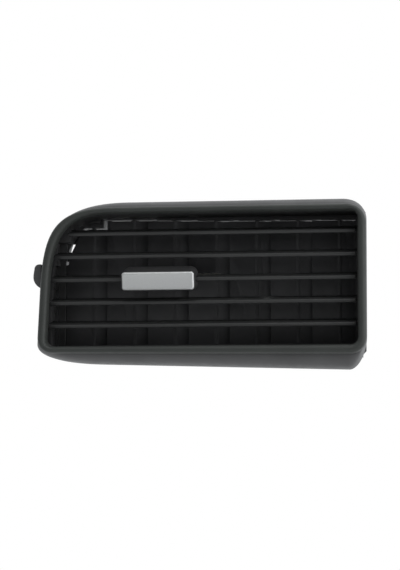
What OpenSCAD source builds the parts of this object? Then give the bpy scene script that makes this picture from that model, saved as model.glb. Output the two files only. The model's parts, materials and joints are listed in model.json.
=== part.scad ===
// Dashboard air vent: a slanted trim ring on a flared shroud, five level
// blades in front, seven upright vanes behind them and a sliding knob whose
// rack turns the vanes. +X is to the viewer's right, +Y into the dashboard,
// +Z up. Lengths are in millimetres.

/* [Front ring] */
// Distance from the vent's centre to the ring's left edge, at its foot
ring_left = 92.9; // [92:0.1:93.4]
// Distance from the vent's centre to the ring's right edge
ring_right = 90.2; // [89.8:0.1:91]
// Height of the ring's top edge above the centre, at its right end
ring_top = 39.8; // [39.4:0.1:40.6]
// Depth of the ring's lower edge below the centre
ring_bottom = 42.7; // [42:0.1:43.5]
// Depth of the ring from front to back
ring_depth = 6.5; // [5.5:0.1:7]
// Left edge of the opening, at its foot
open_left = 87.8; // [87:0.1:88.2]
// Right edge of the opening
open_right = 85.6; // [84.4:0.1:85.9]
// Top edge of the opening
open_top = 36.2; // [35:0.1:36.6]
// Bottom edge of the opening
open_bottom = 37.6; // [36.6:0.1:37.8]

/* [Shroud] */
// Height of the shroud's widest outline above the centre
shroud_top = 44.2; // [43.8:0.1:46]
// Depth of the shroud's widest outline below the centre
shroud_drop = 50.5; // [49.5:0.1:52]
// Distance from the front to the shroud's rear rim
shroud_depth = 26; // [24:0.5:30]
// Reach of the left locating lug from the centre
lug_reach = 96.6; // [96:0.1:98]

/* [Duct housing] */
// Distance from the ring's front to the rear duct rim
total_depth = 72; // [68:1:90]
// Height of the duct's ceiling above the centre
duct_top = 37.2; // [36.8:0.1:38]
// Wall thickness of the duct
wall = 1.6; // [1.4:0.1:2]

/* [Level blades] */
// Angle of the blades at rest, front edge down
blade_rest = 12; // [6:1:16]
// Spacing of the blade pivots
blade_pitch = 12.87; // [12.5:0.01:13]
// Height of the middle blade's pivot
blade_z = 2.9; // [2:0.1:4]
// Distance from pivot to front edge
blade_front = 15.5; // [14:0.1:15.5]
// Thickness of a blade
blade_t = 2.2; // [1.8:0.1:2.4]

/* [Upright vanes] */
// Spacing of the vane pivots
vane_pitch = 23.4; // [23:0.1:23.6]
// Angle of the closed vanes from straight ahead
vane_closed = 82; // [80:1:83]
// Distance from vane pivot to its front edge
vane_front = 15.5; // [15:0.1:15.6]
// Distance from vane pivot to its rear edge
vane_rear = 9.8; // [9:0.1:10]
// Thickness of a vane at its pivot
vane_t = 2.0; // [1.6:0.1:2.4]

/* [Slider] */
// Width of the slider knob's face
knob_w = 40.4; // [36:0.2:44]
// Height of the slider knob's face
knob_h = 10.0; // [9:0.2:11]
// Teeth in a full turn of the vane gear
gear_teeth = 24; // [22:1:24]
// Pitch radius of the vane gear
gear_r = 18.2; // [17.6:0.1:18.2]

/* [Hidden] */
$fn = 48;

// The origin is the middle of the whole vent's box.
O = [(ring_right - lug_reach) / 2, total_depth / 2, (shroud_top - shroud_drop + 0.3) / 2];
eps = 0.01;
pin_r = 1.2;
bore_r = 1.25;

// ---- blade layout ----
blade_y = 24;
blade_back = 3;
blade_zs = [for (i = [2:-1:-2]) blade_z + i * blade_pitch];
blade_xl = [-76.8, -84.6, -86.5, -87.2, -87.7];
blade_xr = 84.0;
crank_v = 9;
crank_r = 1.0;

// ---- vane layout ----
vane_y = 45;
vane_x0 = 1.8;
vane_xs = [for (i = [-3:3]) vane_x0 + i * vane_pitch];
vane_zb = -34.6;
// Height of the upper strip over each vane
strip_zs = [32.6, 36.95, 36.4, 35.85, 35.55, 35.35, 35.3];
rear_top = 38.4;
arm_r = 9.8;
arm_dir = 200;
link_z = -37.8;
floor_z = -40.4;
// Where each vane's upper edge is cut down: from, to and by how much
edge_cuts = [
    [], [[2, 12.8, 0.65], [-9.9, -2.6, 0.42]], [[12, 15.6, 0.53], [-9.9, -3.4, 0.3]],
    [[-7.4, -2.8, 0.3]], [[-8, -4.5, 0.3]], [[-8, -4, 0.3]],
    [[-2.9, -2.3, 0.4], [-7.6, -7.1, 0.4]]
];

// ---- slider layout ----
knob_x = -25.0;
knob_face = 23.0;
rack_v = -3;
gear_m = 2 * gear_r / gear_teeth;
gear_pitch = PI * gear_m;
gear_add = 0.8 * gear_m;
gear_ded = 0.8 * gear_m + 0.8;
gear_zc = blade_z + 1.0;
gear_h = 2.2;

// ---- curves ----
function unit(v) = v / norm(v);
function bez(a, b, c, d, t) =
    pow(1 - t, 3) * a + 3 * t * pow(1 - t, 2) * b + 3 * t * t * (1 - t) * c + pow(t, 3) * d;
// One rounded corner at V: it leaves the previous side a before V, joins the
// next side b after V, and k says how square it is.
function corner(P, V, Q, a, b, k, n) =
    let (S = V + a * unit(P - V), E = V + b * unit(Q - V))
    [for (i = [0:n]) bez(S, S + k * (V - S), E + k * (V - E), E, i / n)];
// A closed outline through four rounded corners, clockwise from the lower left.
function outline(vs, cs, n = 12, m = 4) = [
    for (i = [0:3])
        let (A = corner(vs[(i + 3) % 4], vs[i], vs[(i + 1) % 4], cs[i][0], cs[i][1], cs[i][2], n),
             B = corner(vs[i], vs[(i + 1) % 4], vs[(i + 2) % 4], cs[(i + 1) % 4][0], cs[(i + 1) % 4][1], cs[(i + 1) % 4][2], n))
        each concat(A, [for (j = [1:m - 1]) A[n] + (B[0] - A[n]) * j / m])
];
function mix(A, B, f) = [for (i = [0:len(A) - 1]) A[i] + (B[i] - A[i]) * f];
function at_y(A, y) = [for (p = A) [p[0], y, p[1]]];

// Corners run top left, top right, bottom right, bottom left.
ring_out = outline(
    [[-ring_left + 4.0, ring_top - 0.1], [ring_right, ring_top],
     [ring_right, -ring_bottom], [-ring_left, -ring_bottom + 1.7]],
    [[44, 40, 0.79], [11, 11, 0.6], [9.5, 9.5, 0.6], [9, 9, 0.6]]);
ring_in = outline(
    [[-open_left + 3.5, open_top + 0.2], [open_right, open_top],
     [open_right, -open_bottom], [-open_left, -open_bottom + 0.3]],
    [[40, 33, 0.75], [4.5, 4.5, 0.6], [4.5, 4.5, 0.6], [4, 4, 0.6]]);
// Where the shroud tucks in behind the ring
seat_out = outline(
    [[-ring_left + 4.8, ring_top - 0.8], [ring_right - 0.8, ring_top - 0.8],
     [ring_right - 0.8, -ring_bottom + 0.8], [-ring_left + 0.8, -ring_bottom + 2.8]],
    [[43.5, 39.5, 0.79], [10.5, 10.5, 0.6], [9, 9, 0.6], [8.5, 8.5, 0.6]]);
// Widest outline of the shroud
flare = outline(
    [[-91.5, shroud_top - 0.2], [ring_right - 1.4, shroud_top],
     [ring_right - 1.4, -shroud_drop], [-95.4, -shroud_drop + 5.2]],
    [[46, 48, 0.73], [13, 11, 0.62], [19, 10, 0.5], [36, 9, 0.62]]);
flare_in = outline(
    [[-90.0, shroud_top - 1.7], [ring_right - 2.9, shroud_top - 1.5],
     [ring_right - 2.9, -shroud_drop + 1.5], [-93.9, -shroud_drop + 6.7]],
    [[45, 47, 0.75], [12, 10, 0.62], [18, 9, 0.52], [35, 8, 0.62]]);
// Inside and outside of the housing in front of the vanes
cav = outline(
    [[-87.6, duct_top], [86.0, duct_top], [86.0, -37.6], [-90.4, -37.6]],
    [[40, 33, 0.75], [4, 4, 0.6], [4, 4, 0.6], [11.6, 5.6, 0.6]]);
cav_out = outline(
    [[-89.1, duct_top + wall], [87.2, duct_top + wall], [87.2, -37.6 - wall], [-91.9, -37.6 - wall]],
    [[40.8, 33.8, 0.75], [5.4, 5.4, 0.6], [5.4, 5.4, 0.6], [13, 7, 0.6]]);

// ---- solid builders ----
// A closed band swept through a list of outlines of equal length
module band(secs) {
    M = len(secs);
    N = len(secs[0]);
    polyhedron(
        points = [for (s = secs) each s],
        faces = [for (i = [0:M - 1], j = [0:N - 1], h = [0:1])
            let (a = i * N + j, b = i * N + (j + 1) % N,
                 c = ((i + 1) % M) * N + (j + 1) % N, d = ((i + 1) % M) * N + j)
            h == 0 ? [a, b, c] : [a, c, d]],
        convexity = 6);
}
// A flat shape in X and Z, given depth along Y from y0 to y1
module deep(y0, y1) {
    translate([0, y1, 0]) rotate([90, 0, 0]) linear_extrude(y1 - y0) children();
}
module rod_x(x0, x1, r, y, z) {
    translate([x0, y, z]) rotate([0, 90, 0]) cylinder(h = x1 - x0, r = r);
}
module rod_z(z0, z1, r, x, y) {
    translate([x, y, z0]) cylinder(h = z1 - z0, r = r);
}
module block(a, b) {
    translate(a) cube(b - a);
}
module place() {
    translate(-O) children();
}

// ---- fixed pieces ----
module front_ring() {
    color([0.20, 0.21, 0.21]) place()
    band([
        at_y(ring_out, ring_depth), at_y(ring_out, 2.4),
        at_y(mix(ring_out, ring_in, 0.10), 0.9),
        at_y(mix(ring_out, ring_in, 0.26), 0.2),
        at_y(mix(ring_out, ring_in, 0.45), 0),
        at_y(mix(ring_out, ring_in, 0.74), 0.5),
        at_y(mix(ring_out, ring_in, 0.93), 1.6),
        at_y(ring_in, 3.2), at_y(ring_in, ring_depth)
    ]);
}

module lug_shape() {
    translate([-lug_reach + 7, 2.2]) {
        circle(r = 7);
        translate([-5.3, 0]) square([5.3, 7]);
    }
}

module outer_shroud() {
    color([0.27, 0.27, 0.28]) place()
    difference() {
        union() {
        band([
            at_y(flare, shroud_depth), at_y(flare, 20),
            at_y(mix(seat_out, flare, 0.95), 15.2),
            at_y(mix(seat_out, flare, 0.80), 11.4),
            at_y(mix(seat_out, flare, 0.56), 8.8),
            at_y(mix(seat_out, flare, 0.30), 7.5),
            at_y(seat_out, 7.0), at_y(seat_out, ring_depth),
            at_y(cav, ring_depth), at_y(cav, 9.2),
            at_y(mix(cav_out, seat_out, 0.5), 9.2),
            at_y(mix(seat_out, flare_in, 0.6), 11.8),
            at_y(flare_in, 17), at_y(flare_in, shroud_depth)
        ]);
        // Locating lug, with its flat on top
        difference() {
            deep(9.5, 21) lug_shape();
            block([-92.1, 9, -8], [-80, 22, 11]);
        }
        }
        // The housing passes through
        deep(9.2, shroud_depth + 1) polygon(cav_out);
    }
}

// Inside of the duct behind the vanes: its ceiling steps down over vane 1
duct_corner = [[-88.2, 8], [-88.0, 20], [-85.8, 30], [-80.5, 34.8]];
rear_in = concat(
    [[-88.2, -37.2]],
    [for (i = [0:8]) bez(duct_corner[0], duct_corner[1], duct_corner[2], duct_corner[3], i / 8)],
    [[-63.8, 34.8], [-63.8, rear_top], [84.8, rear_top], [84.8, -34.8], [82.4, -37.2]]);
rear_out = concat(
    [[-89.8, -38.8]],
    [for (i = [0:8]) bez(duct_corner[0] + [-1.6, 0.5], duct_corner[1] + [-1.6, 0.5], duct_corner[2] + [-1.5, 0.8], duct_corner[3] + [-0.9, 1.6], i / 8)],
    [[-65.4, 36.4], [-65.4, rear_top + wall], [86.4, rear_top + wall], [86.4, -34.9], [82.5, -38.8]]);
// Edge of vane 1 as a fixed shape, for the rib that it closes against
lip_1 = [[-84.5, -36], [-84.5, 11], [-82.4, 20.2], [-80.2, 24.2], [-77.4, 28.4], [-75.0, 31.4], [-73.4, 32.6], [-63.8, 32.6], [-63.8, 37.4], [81.0, 37.4], [81.0, -36]];

// Edge of the stop behind vane 1, drawn inside the vane's own edge
stop_1 = [[-82.6, -38], [-82.6, 9.5], [-80.9, 19.6], [-78.9, 23.4], [-76.3, 26.8], [-74.2, 29.0], [-74.2, 40], [90, 40], [90, -38]];

// Plan of the duct, whose right side draws in toward the rear
module duct_plan(d) {
    y1 = total_depth + 2;
    translate([0, 0, -60]) linear_extrude(120)
        polygon([[-100, 9], [86.4 + d, 9], [86.4 + d, 50], [86.4 + d - 2.8 * (y1 - 50) / (total_depth - 50), y1], [-100, y1]]);
}

module duct_housing() {
    color([0.13, 0.13, 0.14]) place()
    difference() {
        union() {
            difference() {
                union() {
                    deep(9.2, 40) polygon(cav_out);
                    intersection() {
                        deep(38, total_depth) polygon(rear_out);
                        duct_plan(0);
                    }
                    // Gallery under the floor for the vane link
                    block([-83.6, 30.6, -42], [84.6, 51.2, -37]);
                    // Collar bead round the rear end
                    intersection() {
                        deep(total_depth - 6, total_depth - 4) offset_poly(rear_out, 0.9);
                        duct_plan(0.9);
                    }
                }
                deep(9, 31) polygon(cav);
                deep(30.9, 38.1) polygon(cav);
                deep(38, 42.6) polygon(rear_in);
                deep(42.5, 44.9) polygon(lip_1);
                intersection() {
                    deep(44.8, total_depth + 1) polygon(rear_in);
                    duct_plan(-wall);
                }
                block([-82, 32.6, floor_z], [83.4, 50, -34]);
            }
            // Stop behind vane 1's left edge, open in two places
            difference() {
                deep(45.2, 46.6) polygon(rear_in);
                deep(45, 47) polygon(stop_1);
                block([-86, 45, 11.8], [-79, 47, 13.8]);
                block([-86, 45, 19.2], [-76, 47, 23.7]);
            }
            // Ribs on the ceiling behind the vanes' upper edges
            for (i = [1:6]) block([max(-63.9, vane_xs[i] - 16.9), 55.3, strip_zs[i] + 0.4], [i == 6 ? 84.5 : vane_xs[i] + 6.6, 56.8, rear_top + 0.2]);
            block([-73.9, 55.3, 32.9], [-68.8, 56.8, 35.0]);
            block([-82.6, 55.3, 32.9], [-76.8, 56.8, 34.9]);
            // Sills before and behind the gallery
            block([-85.6, 30.6, -38.8], [83.4, 32.6, -35.0]);
            block([-85.5, 50, -38.8], [82.4, 51.2, -35.0]);
        }
        // Seat of the upper vane strip
        strip_shape(0.01);
    }
}

// The outline pushed out by d along X and Z, without rounding its corners
module offset_poly(P, d) {
    n = len(P);
    polygon([for (i = [0:n - 1])
        let (a = P[(i + n - 1) % n], b = P[i], c = P[(i + 1) % n],
             u = unit(b - a), v = unit(c - b),
             nu = [-u[1], u[0]], nv = [-v[1], v[0]],
             s = nu + nv)
        b + s * (d / max(0.4, 1 + nu * nv))]);
}

// Side strip that holds the blades' left pins: its face steps out with them
module left_blade_carrier() {
    zb = -36;
    edges = [for (i = [0:3]) (blade_zs[i] + blade_zs[i + 1]) / 2];
    color([0.16, 0.16, 0.17]) place()
    difference() {
        intersection() {
            union() {
            // Bridge behind blade 2's end
            deep(27.6, 30) polygon([[-95, 15], [-81, 15], [-81, 25], [-95, 25]]);
            deep(19.6, 30) polygon([
                [-95, zb], [blade_xl[4] - 0.4, zb],
                [blade_xl[4] - 0.4, edges[3]], [blade_xl[3] - 0.4, edges[3]],
                [blade_xl[3] - 0.4, edges[2]], [blade_xl[2] - 0.4, edges[2]],
                [blade_xl[2] - 0.4, edges[1]], [blade_xl[1] - 0.4, edges[1]],
                [blade_xl[1] - 0.4, edges[0]], [blade_xl[0] - 0.4, edges[0]],
                [blade_xl[0] - 0.4, 33], [-95, 33]]);
            }
            deep(19, 31) polygon(cav);
        }
        for (i = [0:4]) rod_x(-95, -70, bore_r, blade_y, blade_zs[i]);
    }
}

module right_blade_carrier() {
    color([0.16, 0.16, 0.17]) place()
    difference() {
        block([blade_xr + 0.4, 19.6, -32], [86.0, 30, 33.1]);
        for (i = [0:4]) rod_x(83, 88, bore_r, blade_y, blade_zs[i]);
    }
}

// The strip steps down over vane 1 and, a little, from vane to vane
module strip_shape(d) {
    block([-78, 40.5, strip_zs[0]], [-62.2, 49.5, 34.8 + d]);
    block([-63.8, 40.5, strip_zs[0]], [-62.2, 49.5, rear_top + d]);
    block([-63.8, 40.5, strip_zs[1] + 0.4], [84.6, 49.5, rear_top + d]);
    for (i = [1:6]) block([i == 1 ? -63.8 : vane_xs[i] - 10, 40.5, strip_zs[i]], [i == 6 ? 84.6 : vane_xs[i] + 13.4, 49.5, rear_top + d]);
}

module upper_vane_strip() {
    color([0.12, 0.12, 0.13]) place()
    difference() {
        union() {
            strip_shape(0);
        }
        for (i = [0:6]) rod_z(28, 40, bore_r, vane_xs[i], vane_y);
    }
}

module lower_vane_strip() {
    color([0.12, 0.12, 0.13]) place()
    difference() {
        block([-81.8, 40.5, floor_z], [83.2, 49.8, floor_z + 1.6]);
        for (i = [0:6]) rod_z(-43, -30, bore_r, vane_xs[i], vane_y);
    }
}

module clip_shape() {
    // Bent spring strip: base, hook and sprung tongue
    translate([0, 0, 0]) {
        block([-5, 52, 0], [5, 64, 0.6]);
        block([-5, 52, 0], [5, 52.6, 2.4]);
        translate([-3, 52.6, 2.4]) rotate([-9, 0, 0]) translate([0, 0, -0.6]) cube([6, 9.2, 0.6]);
        translate([-3, 61.2, 0.1]) rotate([50, 0, 0]) cube([6, 2.6, 0.6]);
    }
}

module retaining_clips() {
    color([0.62, 0.63, 0.65]) place() {
        for (x = [-40, 48]) {
            translate([x, 0, rear_top + wall]) clip_shape();
            translate([x, 0, -38.8]) mirror([0, 0, 1]) clip_shape();
        }
    }
}

// ---- blades ----
// Blade frame: forward along -Y from the pivot, thickness along Z
function blade_section(back) = concat(
    [for (a = [-90:15:90]) [blade_front - blade_t / 2 + cos(a) * blade_t / 2, sin(a) * blade_t / 2]],
    [[4, blade_t / 2], [-back, 0.6], [-back, -0.6], [4, -blade_t / 2]]);

module in_blade(i) {
    translate([0, blade_y, blade_zs[i]]) rotate([blade_rest, 0, 0]) children();
}
// A shape in X and forward distance v, given thickness along the blade's Z
module blade_flat(z0, z1) {
    translate([0, 0, z0]) mirror([0, 1, 0]) linear_extrude(z1 - z0) children();
}

module blade(i) {
    xl = blade_xl[i];
    color([0.17, 0.17, 0.18]) place() in_blade(i) {
        difference() {
            union() {
                translate([xl, 0, 0]) rotate([0, 90, 0]) rotate([0, 0, 90])
                    mirror([1, 0, 0]) linear_extrude(blade_xr - xl) polygon(blade_section(blade_back));
                rod_x(xl - 1.4, blade_xr + 1.6, pin_r, 0, 0);
                rod_x(blade_xr - 2, blade_xr + 1.6, crank_r, -crank_v, 0);
            }
            // The middle blade is cut back for the rack
            if (i == 2) block([-46.4, -3, -5], [52.6, 10, 5]);
        }
    }
}
module blade_1() { blade(0); }
module blade_2() { blade(1); }
module blade_3() { blade(2); }
module blade_4() { blade(3); }
module blade_5() { blade(4); }

module blade_link() {
    y = blade_y - crank_v * cos(blade_rest);
    dz = -crank_v * sin(blade_rest);
    color([0.20, 0.20, 0.21]) place()
    difference() {
        union() {
            block([blade_xr + 0.4, y - 1.5, blade_zs[4] + dz], [blade_xr + 1.5, y + 1.5, blade_zs[0] + dz]);
            for (i = [0:4]) rod_x(blade_xr + 0.4, blade_xr + 1.5, 2.2, y, blade_zs[i] + dz);
        }
        for (i = [0:4]) rod_x(80, 90, crank_r + 0.05, y, blade_zs[i] + dz);
    }
}

// ---- slider ----
module in_knob() {
    in_blade(2) translate([knob_x, 0, 0]) children();
}
function rrect(w, h, r) = outline(
    [[-w / 2, h / 2], [w / 2, h / 2], [w / 2, -h / 2], [-w / 2, -h / 2]],
    [for (i = [0:3]) [r, r, 0.56]], 6, 2);
// A rounded plate across the slider, from v0 forward to v1
module plate(w, h, r, v0, v1) {
    translate([0, -v0, 0]) rotate([90, 0, 0]) linear_extrude(v1 - v0) polygon(rrect(w, h, r));
}

module knob_body() {
    color([0.15, 0.15, 0.16]) place() in_knob()
    difference() {
        hull() {
            plate(knob_w, knob_h, 1.4, 21, 21.6);
            plate(knob_w + 1.2, knob_h + 3.6, 3.6, 9, 10.5);
        }
        // Slot for the blade
        block([-30, -16.1, -1.45], [30, 0, 1.45]);
        // Seat for the rack's two arms
        block([-12.2, -13, -2.75], [12.2, 0, 2.75]);
        // Pocket for the friction pad
        block([-8.1, -17.4, -1.3], [8.1, -15, 1.3]);
    }
}

module knob_cap() {
    color([0.66, 0.66, 0.67]) place() in_knob()
    union() {
        plate(knob_w, knob_h, 1.4, 21.6, 22.5);
        plate(knob_w - 0.8, knob_h - 0.8, 1.1, 22.5, knob_face);
    }
}

module knob_pad() {
    color([0.08, 0.08, 0.08]) place() in_knob()
    block([-8, -17.3, -1.2], [8, -15.6, 1.2]);
}

// Rack teeth in X and forward distance v, in mesh with the gear at rest
rack_x0 = vane_x0 - knob_x;
module rack_teeth() {
    tip = -rack_v + gear_add;
    root = -rack_v - gear_ded;
    half = gear_pitch / 4 - 0.22;
    for (n = [-9:1]) {
        x = rack_x0 + (n - 0.5) * gear_pitch;
        polygon([[x - half - gear_ded * tan(24), -root + 0.3], [x - half - gear_ded * tan(24), -root],
                 [x - half + gear_add * tan(24), -tip], [x + half - gear_add * tan(24), -tip],
                 [x + half + gear_ded * tan(24), -root], [x + half + gear_ded * tan(24), -root + 0.3]]);
    }
}

module knob_rack() {
    color([0.55, 0.55, 0.53]) place() in_knob()
    union() {
        // Toothed bar in the blade's cut-out
        blade_flat(-1, 1) {
            rack_teeth();
            translate([-20.4, rack_v + gear_ded]) square([52.6, 2.4 - rack_v - gear_ded]);
        }
        // Bridge and the two arms that clip into the knob
        block([-12, -2.4, -2.6], [12, -1.2, 2.6]);
        block([-12, -12.8, 1.4], [12, -1.2, 2.6]);
        block([-12, -12.8, -2.6], [12, -1.2, -1.4]);
    }
}

// ---- vanes ----
// Vane frame: the front edge points along +X before it is turned
module vane_plan() {
    polygon([[-vane_rear, -0.5], [-1.5, -vane_t / 2], [1.5, -vane_t / 2], [vane_front, -0.5],
             [vane_front, 0.5], [1.5, vane_t / 2], [-1.5, vane_t / 2], [-vane_rear, 0.5]]);
}
module in_vane(i) {
    translate([vane_xs[i], vane_y, 0]) rotate([0, 0, 270 - vane_closed]) children();
}
arm_turn = arm_dir - (270 - vane_closed);
module vane_blank(i) {
    seat = strip_zs[i];
    top = seat - (i == 0 ? 0.7 : 0.3);
    difference() {
        translate([0, 0, vane_zb]) linear_extrude(top - vane_zb) vane_plan();
        for (g = edge_cuts[i]) block([g[0], -3, top - g[2]], [g[1], 3, 40]);
    }
    // Pivot pins
    rod_z(top - 1, seat + 1.2, pin_r, 0, 0);
    rod_z(floor_z + 0.3, vane_zb + 1, pin_r, 0, 0);
    // Crank arm and crank pin under the lower edge
    rotate([0, 0, arm_turn]) {
        translate([0, 0, vane_zb - 1.2]) linear_extrude(1.2)
            union() {
                circle(r = 2.2);
                translate([0, -1.6]) square([arm_r, 3.2]);
                translate([arm_r, 0]) circle(r = 1.7);
            }
        rod_z(link_z + 0.1, vane_zb - 1, pin_r, arm_r, 0);
    }
}

module gear_sector() {
    a0 = 143 - (270 - vane_closed);
    a1 = 277 - (270 - vane_closed);
    tip = gear_r + gear_add;
    root = gear_r - gear_ded;
    half_p = 90 / gear_teeth - 0.7;
    translate([0, 0, gear_zc - gear_h / 2]) linear_extrude(gear_h) {
        polygon(concat(
            [for (a = [a0:3.94:a1]) (root + 0.02) * [cos(a), sin(a)]],
            [for (a = [a1:-3.94:a0]) (root - 2.4) * [cos(a), sin(a)]]));
        for (n = [0:8]) {
            a = vane_closed - n * 360 / gear_teeth;
            polygon([
                (root - 0.3) * [cos(a - half_p - 3.6), sin(a - half_p - 3.6)],
                root * [cos(a - half_p - 3.4), sin(a - half_p - 3.4)],
                gear_r * [cos(a - half_p), sin(a - half_p)],
                tip * [cos(a - half_p + 2.2), sin(a - half_p + 2.2)],
                tip * [cos(a + half_p - 2.2), sin(a + half_p - 2.2)],
                gear_r * [cos(a + half_p), sin(a + half_p)],
                root * [cos(a + half_p + 3.4), sin(a + half_p + 3.4)],
                (root - 0.3) * [cos(a + half_p + 3.6), sin(a + half_p + 3.6)]]);
        }
    }
    translate([0, 0, gear_zc - 1]) linear_extrude(2)
        polygon(concat([[0, 0]], [for (a = [a0:3.94:a1]) (root - 1) * [cos(a), sin(a)]]));
}

module vane(i) {
    color([0.10, 0.10, 0.11]) place() in_vane(i) {
        difference() {
            vane_blank(i);
            if (i == 0) vane_1_trim();
            // Clearance for the gear's sweep
            if (i == 2) block([-12, -3, gear_zc - 1.4], [-3.2, 3, gear_zc + 1.4]);
            if (i == 4) {
                block([-12, -3, gear_zc - 1.4], [-3.2, 3, gear_zc + 1.4]);
                block([12.4, -3, gear_zc - 1.4], [20, 3, gear_zc + 1.4]);
            }
        }
        if (i == 3) gear_sector();
    }
}
// Vane 1 is cut to follow the duct's rounded corner
module vane_1_trim() {
    x = -vane_xs[0];
    rotate([90, 0, 0]) translate([0, 0, -5]) linear_extrude(10)
        polygon([[20, 10.2], [83.9 - x, 10.2], [83.6 - x, 11.6], [82.9 - x, 11.7], [82.6 - x, 13.6], [83.1 - x, 13.6],
                 [82.0 - x, 18.7], [81.1 - x, 18.8], [78.9 - x, 23.5], [79.5 - x, 23.7],
                 [76.6 - x, 27.7], [74.9 - x, 29.8], [72.2 - x, 31.2], [71.4 - x, 31.91], [71.4 - x, 40], [20, 40]]);
}
module vane_1() { vane(0); }
module vane_2() { vane(1); }
module vane_3() { vane(2); }
module vane_4() { vane(3); }
module vane_5() { vane(4); }
module vane_6() { vane(5); }
module vane_7() { vane(6); }

module vane_link() {
    dx = arm_r * cos(arm_dir);
    dy = arm_r * sin(arm_dir);
    color([0.20, 0.20, 0.21]) place()
    difference() {
        union() {
            block([vane_xs[0] + dx, vane_y + dy - 1.5, link_z], [vane_xs[6] + dx, vane_y + dy + 1.5, link_z + 1.5]);
            for (i = [0:6]) rod_z(link_z, link_z + 1.5, 1.9, vane_xs[i] + dx, vane_y + dy);
        }
        for (i = [0:6]) rod_z(-43, -30, bore_r, vane_xs[i] + dx, vane_y + dy);
    }
}

front_ring();
outer_shroud();
duct_housing();
left_blade_carrier();
right_blade_carrier();
upper_vane_strip();
lower_vane_strip();
retaining_clips();
blade_1();
blade_2();
blade_3();
blade_4();
blade_5();
blade_link();
knob_body();
knob_cap();
knob_rack();
knob_pad();
vane_1();
vane_2();
vane_3();
vane_4();
vane_5();
vane_6();
vane_7();
vane_link();
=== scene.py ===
import json
import math

import bmesh
import bpy
from mathutils import Matrix, Vector

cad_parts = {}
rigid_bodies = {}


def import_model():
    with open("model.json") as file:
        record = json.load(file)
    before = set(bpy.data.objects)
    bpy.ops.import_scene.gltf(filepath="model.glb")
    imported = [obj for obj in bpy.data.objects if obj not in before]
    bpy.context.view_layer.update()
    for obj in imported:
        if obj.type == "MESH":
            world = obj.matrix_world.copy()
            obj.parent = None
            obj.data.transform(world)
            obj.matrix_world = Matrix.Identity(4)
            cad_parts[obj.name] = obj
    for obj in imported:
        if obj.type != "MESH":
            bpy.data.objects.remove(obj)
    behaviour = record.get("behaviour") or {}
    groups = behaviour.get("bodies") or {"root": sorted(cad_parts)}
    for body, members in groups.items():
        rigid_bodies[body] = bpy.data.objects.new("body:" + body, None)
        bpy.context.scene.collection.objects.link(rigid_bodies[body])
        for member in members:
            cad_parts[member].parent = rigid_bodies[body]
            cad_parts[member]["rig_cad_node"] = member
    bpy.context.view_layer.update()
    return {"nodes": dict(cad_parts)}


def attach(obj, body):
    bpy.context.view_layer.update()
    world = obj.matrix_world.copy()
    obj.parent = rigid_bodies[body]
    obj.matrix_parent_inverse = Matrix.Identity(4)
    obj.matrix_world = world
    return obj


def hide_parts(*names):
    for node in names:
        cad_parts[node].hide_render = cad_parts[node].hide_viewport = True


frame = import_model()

NODES = frame["nodes"]

# Lengths below are in millimetres in the vent's own coordinates: X and Z from
# the ring's centre, Y from the ring's front plane. row() turns them into the
# frame's metres.
O = (-3.2, 36.0, -3.0)


def row(x, y, z):
    return Vector(((x - O[0]) / 1000, (y - O[1]) / 1000, (z - O[2]) / 1000))


# ------------------------------------------------------------------ curves
def unit(v):
    n = math.hypot(*v)
    return (v[0] / n, v[1] / n)


def bez(a, b, c, d, t):
    return tuple((1 - t) ** 3 * a[i] + 3 * t * (1 - t) ** 2 * b[i] + 3 * t * t * (1 - t) * c[i] + t ** 3 * d[i] for i in (0, 1))


def corner(P, V, Q, a, b, k, n):
    u, w = unit((P[0] - V[0], P[1] - V[1])), unit((Q[0] - V[0], Q[1] - V[1]))
    S = (V[0] + a * u[0], V[1] + a * u[1])
    E = (V[0] + b * w[0], V[1] + b * w[1])
    c1 = (S[0] + k * (V[0] - S[0]), S[1] + k * (V[1] - S[1]))
    c2 = (E[0] + k * (V[0] - E[0]), E[1] + k * (V[1] - E[1]))
    return [bez(S, c1, c2, E, i / n) for i in range(n + 1)]


def outline(vs, cs, n=28, m=22):
    """A closed outline through four rounded corners: top left, top right, bottom right, bottom left."""
    C = [corner(vs[(i + 3) % 4], vs[i], vs[(i + 1) % 4], cs[i][0], cs[i][1], cs[i][2], n) for i in range(4)]
    out = []
    for i in range(4):
        A, B = C[i], C[(i + 1) % 4]
        out += A
        out += [(A[-1][0] + (B[0][0] - A[-1][0]) * j / m, A[-1][1] + (B[0][1] - A[-1][1]) * j / m) for j in range(1, m)]
    return out


def mix(A, B, f):
    return [(a[0] + (b[0] - a[0]) * f, a[1] + (b[1] - a[1]) * f) for a, b in zip(A, B)]


def spline(points, per=4):
    """Catmull-Rom through the points, ends kept."""
    out = []
    n = len(points)
    for i in range(n - 1):
        p0, p1, p2, p3 = points[max(i - 1, 0)], points[i], points[i + 1], points[min(i + 2, n - 1)]
        for j in range(per):
            t = j / per
            out.append(tuple(0.5 * (2 * p1[k] + (p2[k] - p0[k]) * t + (2 * p0[k] - 5 * p1[k] + 4 * p2[k] - p3[k]) * t * t
                                    + (3 * p1[k] - p0[k] - 3 * p2[k] + p3[k]) * t ** 3) for k in range(len(p1))))
    out.append(tuple(points[-1]))
    return out


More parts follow.
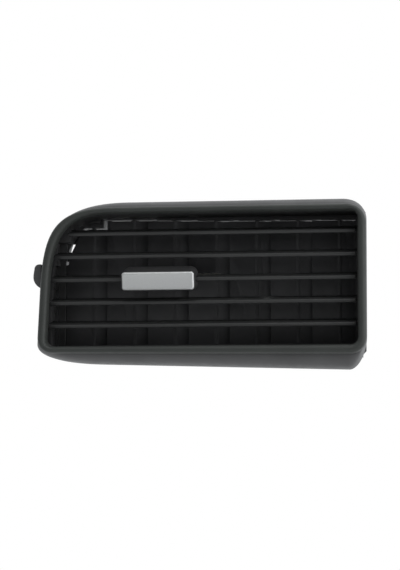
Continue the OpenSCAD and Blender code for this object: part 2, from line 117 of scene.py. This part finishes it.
RING_OUT = outline([(-88.9, 39.7), (90.2, 39.8), (90.2, -42.7), (-92.9, -41.0)],
                   [(44, 40, .79), (11, 11, .6), (9.5, 9.5, .6), (9, 9, .6)])
RING_IN = outline([(-84.3, 36.4), (85.6, 36.2), (85.6, -37.6), (-87.8, -37.3)],
                  [(40, 33, .75), (4.5, 4.5, .6), (4.5, 4.5, .6), (4, 4, .6)])
SEAT = outline([(-88.1, 39.0), (89.4, 39.0), (89.4, -41.9), (-92.1, -39.9)],
               [(43.5, 39.5, .79), (10.5, 10.5, .6), (9, 9, .6), (8.5, 8.5, .6)])
FLARE = outline([(-91.5, 44.0), (88.8, 44.2), (88.8, -50.5), (-95.4, -45.3)],
                [(46, 48, .73), (13, 11, .62), (19, 10, .5), (36, 9, .62)])
FLARE_IN = outline([(-90.0, 42.5), (87.3, 42.7), (87.3, -49.0), (-93.9, -43.8)],
                   [(45, 47, .75), (12, 10, .62), (18, 9, .52), (35, 8, .62)])
CAV = outline([(-87.6, 37.2), (86.0, 37.2), (86.0, -37.6), (-90.4, -37.6)],
              [(40, 33, .75), (4, 4, .6), (4, 4, .6), (11.6, 5.6, .6)])
CAV_OUT = outline([(-89.1, 38.8), (87.2, 38.8), (87.2, -39.2), (-91.9, -39.2)],
                  [(40.8, 33.8, .75), (5.4, 5.4, .6), (5.4, 5.4, .6), (13, 7, .6)])


# ------------------------------------------------------------------ meshes
def finish_mesh(bm, name, sharp=38):
    bmesh.ops.remove_doubles(bm, verts=bm.verts, dist=1e-7)
    bmesh.ops.recalc_face_normals(bm, faces=bm.faces)
    lim = math.radians(sharp)
    for f in bm.faces:
        f.smooth = True
    for e in bm.edges:
        if len(e.link_faces) == 2:
            e.smooth = e.calc_face_angle(0) < lim
    me = bpy.data.meshes.new(name)
    bm.to_mesh(me)
    bm.free()
    o = bpy.data.objects.new(name, me)
    bpy.context.scene.collection.objects.link(o)
    return o


def loft(bm, sections, closed=True, caps=False):
    """Quads between sections (lists of points in metres); closed joins the last section to the first."""
    rings = [[bm.verts.new(p) for p in s] for s in sections]
    N = len(rings[0])
    pairs = [(rings[i], rings[i + 1]) for i in range(len(rings) - 1)]
    if closed:
        pairs.append((rings[-1], rings[0]))
    for A, B in pairs:
        for j in range(N):
            bm.faces.new((A[j], A[(j + 1) % N], B[(j + 1) % N], B[j]))
    if caps:
        bm.faces.new(rings[0])
        bm.faces.new(list(reversed(rings[-1])))
    return rings


def at_y(A, y):
    return [row(p[0], y, p[1]) for p in A]


def boolean(o, cutter, op="DIFFERENCE"):
    m = o.modifiers.new("b", "BOOLEAN")
    m.operation, m.solver, m.object = op, "EXACT", cutter
    apply_all(o)
    me = cutter.data
    bpy.data.objects.remove(cutter)
    bpy.data.meshes.remove(me)


def apply_all(o):
    dg = bpy.context.evaluated_depsgraph_get()
    dg.update()
    me = bpy.data.meshes.new_from_object(o.evaluated_get(dg))
    old = o.data
    o.modifiers.clear()
    o.data = me
    bpy.data.meshes.remove(old)


def smooth_by_angle(o, deg=38):
    bm = bmesh.new()
    bm.from_mesh(o.data)
    bmesh.ops.remove_doubles(bm, verts=bm.verts, dist=1e-7)
    lim = math.radians(deg)
    for f in bm.faces:
        f.smooth = True
    for e in bm.edges:
        if len(e.link_faces) == 2:
            e.smooth = e.calc_face_angle(0) < lim
    bm.to_mesh(o.data)
    bm.free()


def solid(name, build, sharp=38):
    bm = bmesh.new()
    build(bm)
    return finish_mesh(bm, name, sharp)


def soft_copy(node, width, body, segments=2, name=None):
    """A copy of a CAD node with its edges rounded by width (mm), standing for the node."""
    src = NODES[node]
    bm = bmesh.new()
    bm.from_mesh(src.data)
    bmesh.ops.remove_doubles(bm, verts=bm.verts, dist=2e-6)
    bmesh.ops.dissolve_limit(bm, angle_limit=math.radians(1.0), verts=bm.verts, edges=bm.edges)
    for v in list(bm.verts):
        if len(v.link_edges) == 2 and v.is_valid:
            a, b = [e.other_vert(v).co - v.co for e in v.link_edges]
            if a.angle(-b, 1) < 0.002:
                bmesh.ops.dissolve_verts(bm, verts=[v])
    o = finish_mesh(bm, name or node + "_skin")
    m = o.modifiers.new("r", "BEVEL")
    m.width, m.segments, m.limit_method, m.angle_limit = width / 1000, segments, "ANGLE", math.radians(40)
    m.use_clamp_overlap = True
    m.harden_normals = False
    m.miter_outer = "MITER_SHARP"
    apply_all(o)
    smooth_by_angle(o, 40)
    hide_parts(node)
    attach(o, body)
    return o


def use(o, mat):
    o.data.materials.clear()
    o.data.materials.append(mat)
    return o


# --------------------------------------------------------------- materials
def nodes_of(mat):
    mat.use_nodes = True
    nt = mat.node_tree
    nt.nodes.clear()
    out = nt.nodes.new("ShaderNodeOutputMaterial")
    bsdf = nt.nodes.new("ShaderNodeBsdfPrincipled")
    nt.links.new(bsdf.outputs[0], out.inputs[0])
    return nt, bsdf


def noise(nt, vec, scale, detail=3.0, rough=0.5):
    n = nt.nodes.new("ShaderNodeTexNoise")
    n.inputs["Scale"].default_value = scale
    n.inputs["Detail"].default_value = detail
    n.inputs["Roughness"].default_value = rough
    nt.links.new(vec, n.inputs["Vector"])
    return n.outputs["Fac"]


def ramp(nt, fac, a, b, lo, hi):
    m = nt.nodes.new("ShaderNodeMapRange")
    m.inputs["From Min"].default_value, m.inputs["From Max"].default_value = a, b
    m.inputs["To Min"].default_value, m.inputs["To Max"].default_value = lo, hi
    nt.links.new(fac, m.inputs["Value"])
    return m.outputs["Result"]


def mixc(nt, fac, a, b):
    m = nt.nodes.new("ShaderNodeMix")
    m.data_type = "RGBA"
    nt.links.new(fac, m.inputs["Factor"])
    m.inputs["A"].default_value = (*a, 1)
    m.inputs["B"].default_value = (*b, 1)
    return m.outputs["Result"]


def plastic(name, base, vary, rough, rough_vary=0.06, grain=0.0, grain_mm=0.35, ior=1.46, spec=0.5, coat=0.0):
    """Moulded plastic: slow colour drift, a fine grain in the bump and gloss that varies a little."""
    mat = bpy.data.materials.new(name)
    nt, b = nodes_of(mat)
    tc = nt.nodes.new("ShaderNodeTexCoord")
    vec = tc.outputs["Object"]
    slow = noise(nt, vec, 38.0, 2.0)
    fine = noise(nt, vec, 1000 / grain_mm, 4.0, 0.62)
    lo = tuple(max(0.0, c * (1 - vary)) for c in base)
    hi = tuple(c * (1 + vary) for c in base)
    nt.links.new(mixc(nt, ramp(nt, slow, 0.3, 0.7, 0.0, 1.0), lo, hi), b.inputs["Base Color"])
    mid = noise(nt, vec, 260.0, 4.0, 0.6)
    nt.links.new(ramp(nt, mid, 0.3, 0.7, rough - rough_vary, rough + rough_vary), b.inputs["Roughness"])
    b.inputs["IOR"].default_value = ior
    b.inputs["Specular IOR Level"].default_value = spec
    if coat:
        b.inputs["Coat Weight"].default_value = coat
        b.inputs["Coat Roughness"].default_value = 0.12
    if grain:
        bump = nt.nodes.new("ShaderNodeBump")
        bump.inputs["Strength"].default_value = grain
        bump.inputs["Distance"].default_value = 0.00012
        nt.links.new(fine, bump.inputs["Height"])
        nt.links.new(bump.outputs[0], b.inputs["Normal"])
    return mat


def metal(name, base, rough, brushed=0.0):
    mat = bpy.data.materials.new(name)
    nt, b = nodes_of(mat)
    tc = nt.nodes.new("ShaderNodeTexCoord")
    mp = nt.nodes.new("ShaderNodeMapping")
    mp.inputs["Scale"].default_value = (1.0, 0.06, 1.0)
    nt.links.new(tc.outputs["Object"], mp.inputs["Vector"])
    lines = noise(nt, mp.outputs[0], 3200.0, 3.0)
    nt.links.new(mixc(nt, lines, tuple(c * 0.86 for c in base), tuple(min(1, c * 1.1) for c in base)), b.inputs["Base Color"])
    nt.links.new(ramp(nt, lines, 0.25, 0.75, rough - 0.07, rough + 0.09), b.inputs["Roughness"])
    b.inputs["Metallic"].default_value = 1.0
    if brushed:
        bump = nt.nodes.new("ShaderNodeBump")
        bump.inputs["Strength"].default_value = brushed
        bump.inputs["Distance"].default_value = 0.00005
        nt.links.new(lines, bump.inputs["Height"])
        nt.links.new(bump.outputs[0], b.inputs["Normal"])
    return mat


def silver_paint(name):
    """Satin silver paint: fine flake in a clear satin layer."""
    mat = bpy.data.materials.new(name)
    nt, b = nodes_of(mat)
    tc = nt.nodes.new("ShaderNodeTexCoord")
    vec = tc.outputs["Object"]
    flake = noise(nt, vec, 5200.0, 2.0)
    slow = noise(nt, vec, 90.0, 2.0)
    nt.links.new(mixc(nt, ramp(nt, flake, 0.35, 0.65, 0, 1), (0.57, 0.58, 0.58), (0.69, 0.70, 0.70)), b.inputs["Base Color"])
    nt.links.new(ramp(nt, slow, 0.3, 0.7, 0.30, 0.39), b.inputs["Roughness"])
    b.inputs["Metallic"].default_value = 0.55
    b.inputs["IOR"].default_value = 1.5
    bump = nt.nodes.new("ShaderNodeBump")
    bump.inputs["Strength"].default_value = 0.12
    bump.inputs["Distance"].default_value = 0.00004
    nt.links.new(flake, bump.inputs["Height"])
    nt.links.new(bump.outputs[0], b.inputs["Normal"])
    return mat


RING = plastic("ring_plastic", (0.042, 0.046, 0.043), 0.10, 0.52, grain=0.35, grain_mm=0.30, ior=1.45, spec=0.45)
SHROUD = plastic("shroud_plastic", (0.084, 0.084, 0.086), 0.12, 0.46, grain=0.30, grain_mm=0.34, ior=1.46)
HOUSING = plastic("housing_plastic", (0.078, 0.078, 0.080), 0.15, 0.55, grain=0.25, grain_mm=0.5, ior=1.45, spec=0.4)
BLADE = plastic("blade_plastic", (0.036, 0.037, 0.037), 0.10, 0.42, grain=0.15, grain_mm=0.25, ior=1.46)
VANE = plastic("vane_plastic", (0.088, 0.088, 0.092), 0.15, 0.36, rough_vary=0.05, grain=0.05, grain_mm=0.6, ior=1.47)
LINK = plastic("link_plastic", (0.016, 0.016, 0.017), 0.12, 0.5, grain=0.2, grain_mm=0.4)
KNOB = plastic("knob_plastic", (0.045, 0.045, 0.046), 0.10, 0.45, grain=0.2, grain_mm=0.28)
RACK = plastic("rack_plastic", (0.42, 0.41, 0.38), 0.05, 0.42, grain=0.1, grain_mm=0.5)
PAD = plastic("pad_rubber", (0.015, 0.015, 0.015), 0.1, 0.75, grain=0.4, grain_mm=0.3)
SILVER = silver_paint("silver_paint")
STEEL = metal("spring_steel", (0.56, 0.57, 0.59), 0.34, 0.15)

# -------------------------------------------------------------- front ring
RING_PROFILE = spline([(0, 6.5), (0, 4.6), (0, 2.9), (.018, 1.95), (.07, 1.15), (.15, .62), (.26, .26), (.36, .08), (.47, 0.0),
                       (.60, .12), (.72, .40), (.83, .85), (.91, 1.40), (.965, 2.1), (.992, 2.9), (1, 3.9), (1, 6.5)], 3)


def ring_build(bm):
    loft(bm, [at_y(mix(RING_OUT, RING_IN, min(1, max(0, f))), max(0.0, y)) for f, y in RING_PROFILE])


ring = use(solid("trim_ring", ring_build), RING)
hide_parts("front_ring")
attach(ring, "frame")

# ------------------------------------------------------------------ shroud
# (share of the way from the seat to the widest outline, depth)
SHROUD_OUT = spline([(0.0, 6.5), (0.0, 6.8), (.06, 7.05), (.30, 7.5), (.56, 8.8), (.80, 11.4), (.93, 14.6), (.985, 17.6), (1.0, 20.5), (1.0, 25.6)], 4)


def shroud_build(bm):
    secs = [at_y(mix(SEAT, FLARE, min(1, max(0, f))), y) for f, y in reversed(SHROUD_OUT)]
    secs = [at_y(mix(FLARE, FLARE_IN, 0.3), 26.0)] + secs[:]
    secs += [at_y(CAV, 6.5), at_y(CAV, 9.2), at_y(mix(CAV_OUT, SEAT, 0.5), 9.2)]
    secs += [at_y(mix(SEAT, FLARE_IN, 0.6), 11.8), at_y(mix(SEAT, FLARE_IN, 0.93), 14.8), at_y(FLARE_IN, 17.6), at_y(FLARE_IN, 25.6), at_y(mix(FLARE, FLARE_IN, 0.7), 26.0)]
    loft(bm, secs)


shroud = solid("flared_shroud", shroud_build)


def box_build(lo, hi):
    def f(bm):
        vs = [bm.verts.new(row(x, y, z)) for x in (lo[0], hi[0]) for y in (lo[1], hi[1]) for z in (lo[2], hi[2])]
        for q in ((0, 1, 3, 2), (4, 6, 7, 5), (0, 4, 5, 1), (2, 3, 7, 6), (0, 2, 6, 4), (1, 5, 7, 3)):
            bm.faces.new([vs[k] for k in q])
    return f


def lug_outline(d):
    """The tab drawn in by d: round below and outside, flat on top; its inner end stays inside the shroud's wall."""
    cx, cz, r = -89.6, 2.2, 7.0 - d
    x1 = -92.3
    low = -math.degrees(math.acos((x1 - cx) / r))
    pts = [(cx + r * math.cos(math.radians(low + (-172 - low) * k / 16)), cz + r * math.sin(math.radians(low + (-172 - low) * k / 16))) for k in range(17)]
    # Left side, rounded shoulder and the flat on top
    xs, zt, f = cx - 5.3 - 1.1 + d, cz + 7.0 - d, 2.6
    pts += [(cx - r + 0.05, cz + 0.6), (cx - r + 0.25, cz + 2.2)]
    for k in range(7):
        t = math.radians(180 - 15 * k)
        pts.append((xs + f + f * math.cos(t), zt - f + f * math.sin(t)))
    pts += [((xs + f + x1) / 2, zt), (x1, zt)]
    return pts


def lug_build(bm):
    r, y0, y1 = 0.7, 9.5, 21.0
    steps = [(r * (1 - math.sin(t)), r * (1 - math.cos(t))) for t in [math.radians(x) for x in (0, 22.5, 45, 67.5, 90)]]
    secs = [at_y(lug_outline(d), y0 + e) for d, e in steps] + [at_y(lug_outline(d), y1 - e) for d, e in reversed(steps)]
    loft(bm, secs, closed=False, caps=True)


lug = solid("locating_lug", lug_build)
for o in (shroud, lug):
    use(o, SHROUD)
    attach(o, "frame")
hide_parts("outer_shroud")

# ------------------------------------------------------------------ blades
TILT = math.radians(12)
BC, BS = math.cos(TILT), math.sin(TILT)
BLADE_Y, BLADE_V = 24.0, 15.5
BLADE_Z = [2.9 + k * 12.87 for k in (2, 1, 0, -1, -2)]
BLADE_XL = [-76.8, -84.6, -86.5, -87.2, -87.7]
BLADE_XR = 84.0


def in_blade(i, x, v, w):
    return row(x, BLADE_Y - v * BC - w * BS, BLADE_Z[i] - v * BS + w * BC)


def blade_section(inset=0.0):
    """Closed section (v, w): a soft square nose, then a taper to the rear edge."""
    t, r = 1.1 - inset, 0.95 - inset * 0.8
    nose = []
    for a in range(0, 91, 15):
        nose.append((BLADE_V - inset - r + r * math.cos(math.radians(90 - a)), t - r + r * math.sin(math.radians(90 - a))))
    nose.append((BLADE_V - inset, 0.0))
    low = [(v, -w) for v, w in reversed(nose[:-1])]
    top = [(-3.0 + inset, 0.45 - inset * 0.5), (-2.85 + inset, 0.6 - inset), (0.5, 0.9 - inset), (4.0, 1.1 - inset), (8.0, 1.1 - inset), (11.5, 1.1 - inset)]
    bot = [(v, -w) for v, w in reversed(top)]
    return top + nose + low + bot


def rod(bm, i, x0, x1, r, v, n=24):
    secs = []
    for x, k in ((x0, 0.8), (x0 + 0.25, 1), (x1 - 0.25, 1), (x1, 0.8)):
        secs.append([in_blade(i, x, v + r * k * math.cos(2 * math.pi * j / n), r * k * math.sin(2 * math.pi * j / n)) for j in range(n)])
    loft(bm, secs, closed=False, caps=True)


for i in range(5):
    def blade_build(bm, i=i):
        xl, xr = BLADE_XL[i], BLADE_XR
        secs = []
        n = 24
        for x, inset in ((xl, 0.32), (xl + 0.10, 0.14), (xl + 0.32, 0.0), *((xl + 0.32 + (xr - xl - 0.64) * k / n, 0.0) for k in range(1, n)), (xr - 0.32, 0.0), (xr - 0.10, 0.14), (xr, 0.32)):
            secs.append([in_blade(i, x, v, w) for v, w in blade_section(inset)])
        loft(bm, secs, closed=False, caps=True)
    b = solid(f"blade_{i + 1}_leaf", blade_build)
    if i == 2:
        def cut_build(bm):
            vs = [bm.verts.new(in_blade(2, x, v, w)) for x in (-46.4, 52.6) for v in (3.0, -8.0) for w in (-5, 5)]
            for q in ((0, 1, 3, 2), (4, 6, 7, 5), (0, 4, 5, 1), (2, 3, 7, 6), (0, 2, 6, 4), (1, 5, 7, 3)):
                bm.faces.new([vs[k] for k in q])
        boolean(b, solid("c", cut_build))
    for x0, x1, r, v in ((BLADE_XL[i] - 1.4, BLADE_XL[i] + 2, 1.2, 0), (BLADE_XR - 2, BLADE_XR + 1.6, 1.2, 0), (BLADE_XR - 2, BLADE_XR + 1.6, 1.0, 9)):
        boolean(b, solid("c", lambda bm: rod(bm, i, x0, x1, r, v)), "UNION")
    smooth_by_angle(b, 34)
    use(b, BLADE)
    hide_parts(f"blade_{i + 1}")
    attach(b, f"blade_{i + 1}")

# -------------------------------------------------------------------- knob
KX = -25.0


def rrect(w, h, r, n=7, m=8):
    """Rounded rectangle, n steps in each corner and m along each side."""
    pts = []
    for cx, cz, a0 in ((-w / 2 + r, h / 2 - r, 180), (w / 2 - r, h / 2 - r, 90), (w / 2 - r, -h / 2 + r, 0), (-w / 2 + r, -h / 2 + r, -90)):
        arc = [(cx + r * math.cos(math.radians(a0 - 90 * k / n)), cz + r * math.sin(math.radians(a0 - 90 * k / n))) for k in range(n + 1)]
        if pts:
            p, q = pts[-1], arc[0]
            pts += [(p[0] + (q[0] - p[0]) * k / m, p[1] + (q[1] - p[1]) * k / m) for k in range(1, m)]
        pts += arc
    p, q = pts[-1], pts[0]
    pts += [(p[0] + (q[0] - p[0]) * k / m, p[1] + (q[1] - p[1]) * k / m) for k in range(1, m)]
    return pts


def knob_sec(w, h, r, v, crown=0.0, lift=0.0):
    return [in_blade(2, KX + x, v + crown * (1 - (2 * x / w) ** 2) * 0.5 + crown * (1 - (2 * z / h) ** 2) * 0.5, z + lift) for x, z in rrect(w, h, r)]


def knob_body_build(bm):
    secs = []
    for w, h, r, v in ((38.6, 10.8, 3.0, 9.0), (40.2, 12.4, 3.6, 9.15), (41.2, 13.3, 3.9, 9.6), (41.6, 13.6, 4.0, 10.4),
                       (41.5, 13.45, 3.9, 12.0), (41.3, 12.9, 3.7, 14.5), (41.0, 12.1, 3.2, 17.0), (40.7, 11.1, 2.5, 19.3),
                       (40.45, 10.3, 1.8, 20.9), (40.0, 9.8, 1.5, 21.55)):
        secs.append(knob_sec(w, h, r, v))
    loft(bm, secs, closed=False, caps=True)


knob = solid("knob_grip", knob_body_build, 50)


def local_box(x0, x1, v0, v1, w0, w1):
    def f(bm):
        vs = [bm.verts.new(in_blade(2, KX + x, v, w)) for x in (x0, x1) for v in (v1, v0) for w in (w0, w1)]
        for q in ((0, 1, 3, 2), (4, 6, 7, 5), (0, 4, 5, 1), (2, 3, 7, 6), (0, 2, 6, 4), (1, 5, 7, 3)):
            bm.faces.new([vs[k] for k in q])
    return f


boolean(knob, solid("c", local_box(-30, 30, -2, 16.1, -1.45, 1.45)))
boolean(knob, solid("c", local_box(-12.2, 12.2, -2, 13.0, -2.75, 2.75)))
boolean(knob, solid("c", local_box(-8.1, 8.1, 10, 17.4, -1.3, 1.3)))
smooth_by_angle(knob, 40)
use(knob, KNOB)
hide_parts("knob_body")
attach(knob, "slider")


def cap_build(bm):
    """Silver face: a wide soft chamfer on top and at the right, narrower ones at the left and below."""
    secs = []
    W, H = 40.4, 10.0
    # share of each chamfer, corner radius, forward distance
    for f, d, r, v in ((0, .25, 1.3, 21.6), (0, 0, 1.5, 21.75), (0, 0, 1.5, 22.05), (.06, 0, 1.5, 22.25), (.22, 0, 1.45, 22.47), (.48, 0, 1.35, 22.70),
                       (.76, 0, 1.2, 22.88), (.93, 0, 1.1, 22.965), (1.0, 0, 1.05, 22.99), (1.10, 0, 1.0, 22.98), (1.28, 0, .95, 22.93), (1.5, 0, .9, 22.90)):
        up, dn, lf, rt = 1.25 * f + d, .75 * f + d, .8 * f + d, 1.15 * f + d
        pts = rrect(W - lf - rt, H - up - dn, r)
        secs.append([in_blade(2, KX + (lf - rt) / 2 + x, v, (dn - up) / 2 + z) for x, z in pts])
    for k in (0.72, 0.42, 0.14):
        w, h = (W - 2.93) * (0.62 + 0.38 * k), (H - 3.0) * k
        secs.append([in_blade(2, KX - 0.26 + x, 22.90 - 0.03 * (1 - k), -0.37 + z) for x, z in rrect(w, h, 0.9 * k)])
    loft(bm, secs, closed=False, caps=True)


cap = use(solid("knob_face", cap_build, 60), SILVER)
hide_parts("knob_cap")
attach(cap, "slider")

# ---------------------------------------------- pieces kept from their CAD
use(soft_copy("duct_housing", 0.35, "frame", 2), HOUSING)
use(soft_copy("left_blade_carrier", 0.3, "frame", 2), HOUSING)
use(soft_copy("right_blade_carrier", 0.3, "frame", 2), HOUSING)
use(soft_copy("upper_vane_strip", 0.25, "frame", 2), HOUSING)
use(soft_copy("lower_vane_strip", 0.25, "frame", 2), HOUSING)
use(soft_copy("retaining_clips", 0.12, "frame", 2), STEEL)
use(soft_copy("blade_link", 0.2, "blade_link", 2), LINK)
use(soft_copy("vane_link", 0.25, "vane_link", 2), LINK)
use(soft_copy("knob_rack", 0.12, "slider", 2), RACK)
use(soft_copy("knob_pad", 0.2, "slider", 2), PAD)
for i in range(1, 8):
    use(soft_copy(f"vane_{i}", 0.22, f"vane_{i}", 2), VANE)

# ------------------------------------------------------- floor and lighting
def stage_floor():
    bm = bmesh.new()
    bmesh.ops.create_circle(bm, cap_ends=True, segments=96, radius=3.0)
    for v in bm.verts:
        v.co.z = -1.0
    me = bpy.data.meshes.new("floor")
    bm.to_mesh(me)
    bm.free()
    o = bpy.data.objects.new("floor", me)
    bpy.context.scene.collection.objects.link(o)
    mat = bpy.data.materials.new("floor_paper")
    nt, b = nodes_of(mat)
    tc = nt.nodes.new("ShaderNodeTexCoord")
    n = noise(nt, tc.outputs["Object"], 6.0, 3.0)
    nt.links.new(mixc(nt, n, (0.86, 0.86, 0.86), (0.90, 0.90, 0.90)), b.inputs["Base Color"])
    b.inputs["Roughness"].default_value = 0.9
    me.materials.append(mat)


stage_floor()

world = bpy.data.worlds.new("studio")
bpy.context.scene.world = world
world.use_nodes = True
wt = world.node_tree
wt.nodes.clear()
wo = wt.nodes.new("ShaderNodeOutputWorld")
seen = wt.nodes.new("ShaderNodeBackground")
seen.inputs["Color"].default_value = (1, 1, 1, 1)
seen.inputs["Strength"].default_value = 1.0
tent = wt.nodes.new("ShaderNodeBackground")
tc = wt.nodes.new("ShaderNodeTexCoord")
sep = wt.nodes.new("ShaderNodeSeparateXYZ")
wt.links.new(tc.outputs["Generated"], sep.inputs[0])
# The room is dim behind the camera and bright at the sides, above and below
front = wt.nodes.new("ShaderNodeMapRange")
front.interpolation_type = "SMOOTHSTEP"
front.inputs["From Min"].default_value, front.inputs["From Max"].default_value = -0.75, 0.25
front.inputs["To Min"].default_value, front.inputs["To Max"].default_value = 0.30, 0.90
wt.links.new(sep.outputs["Y"], front.inputs["Value"])
wt.links.new(front.outputs["Result"], tent.inputs["Strength"])
tent.inputs["Color"].default_value = (0.97, 0.99, 1.0, 1)
lp = wt.nodes.new("ShaderNodeLightPath")
sw = wt.nodes.new("ShaderNodeMixShader")
wt.links.new(lp.outputs["Is Camera Ray"], sw.inputs[0])
wt.links.new(tent.outputs[0], sw.inputs[1])
wt.links.new(seen.outputs[0], sw.inputs[2])
wt.links.new(sw.outputs[0], wo.inputs[0])


def softbox(name, loc, aim, size, power, colour=(1, 1, 1)):
    d = bpy.data.lights.new(name, "AREA")
    d.shape, d.size, d.size_y, d.energy, d.color = "RECTANGLE", size[0], size[1], power, colour
    o = bpy.data.objects.new(name, d)
    bpy.context.scene.collection.objects.link(o)
    o.location = loc
    o.rotation_mode = "QUATERNION"
    o.rotation_quaternion = (Vector(aim) - Vector(loc)).to_track_quat("-Z", "Y")
    return o


softbox("top_softbox", (0.25, -0.05, 1.1), (0, 0, 0), (1.2, 0.6), 3.5)
softbox("right_softbox", (1.0, -0.45, 0.12), (0, 0, 0), (0.5, 0.7), 3.6)
softbox("near_softbox", (0.42, -0.42, 0.36), (0.08, 0, 0), (0.16, 0.16), 0.42)
softbox("strip_softbox", (0.1, -0.7, 0.9), (0, 0, 0), (0.9, 0.12), 1.2)

# ------------------------------------------------------------------ camera
AZ, EL, DIST = math.radians(8), math.radians(-5), 1.5
back = Vector((math.sin(AZ) * math.cos(EL), -math.cos(AZ) * math.cos(EL), math.sin(EL)))
quat = (-back).to_track_quat("-Z", "Y")
right, up = quat @ Vector((1, 0, 0)), quat @ Vector((0, 1, 0))
aim = row(0, 0, 0) - right * 0.0011 - up * 0.0044
cam_data = bpy.data.cameras.new("camera")
cam_data.lens, cam_data.sensor_width, cam_data.sensor_fit = 172.2, 36.0, "AUTO"
cam_data.clip_start, cam_data.clip_end = 0.05, 50
cam = bpy.data.objects.new("camera", cam_data)
bpy.context.scene.collection.objects.link(cam)
cam.rotation_mode = "QUATERNION"
cam.rotation_quaternion = quat
cam.location = aim + back * DIST
bpy.context.scene.camera = cam

vs = bpy.context.scene.view_settings
vs.view_transform = "Standard"
vs.look = "None"
vs.exposure = 0.0
vs.gamma = 1.0
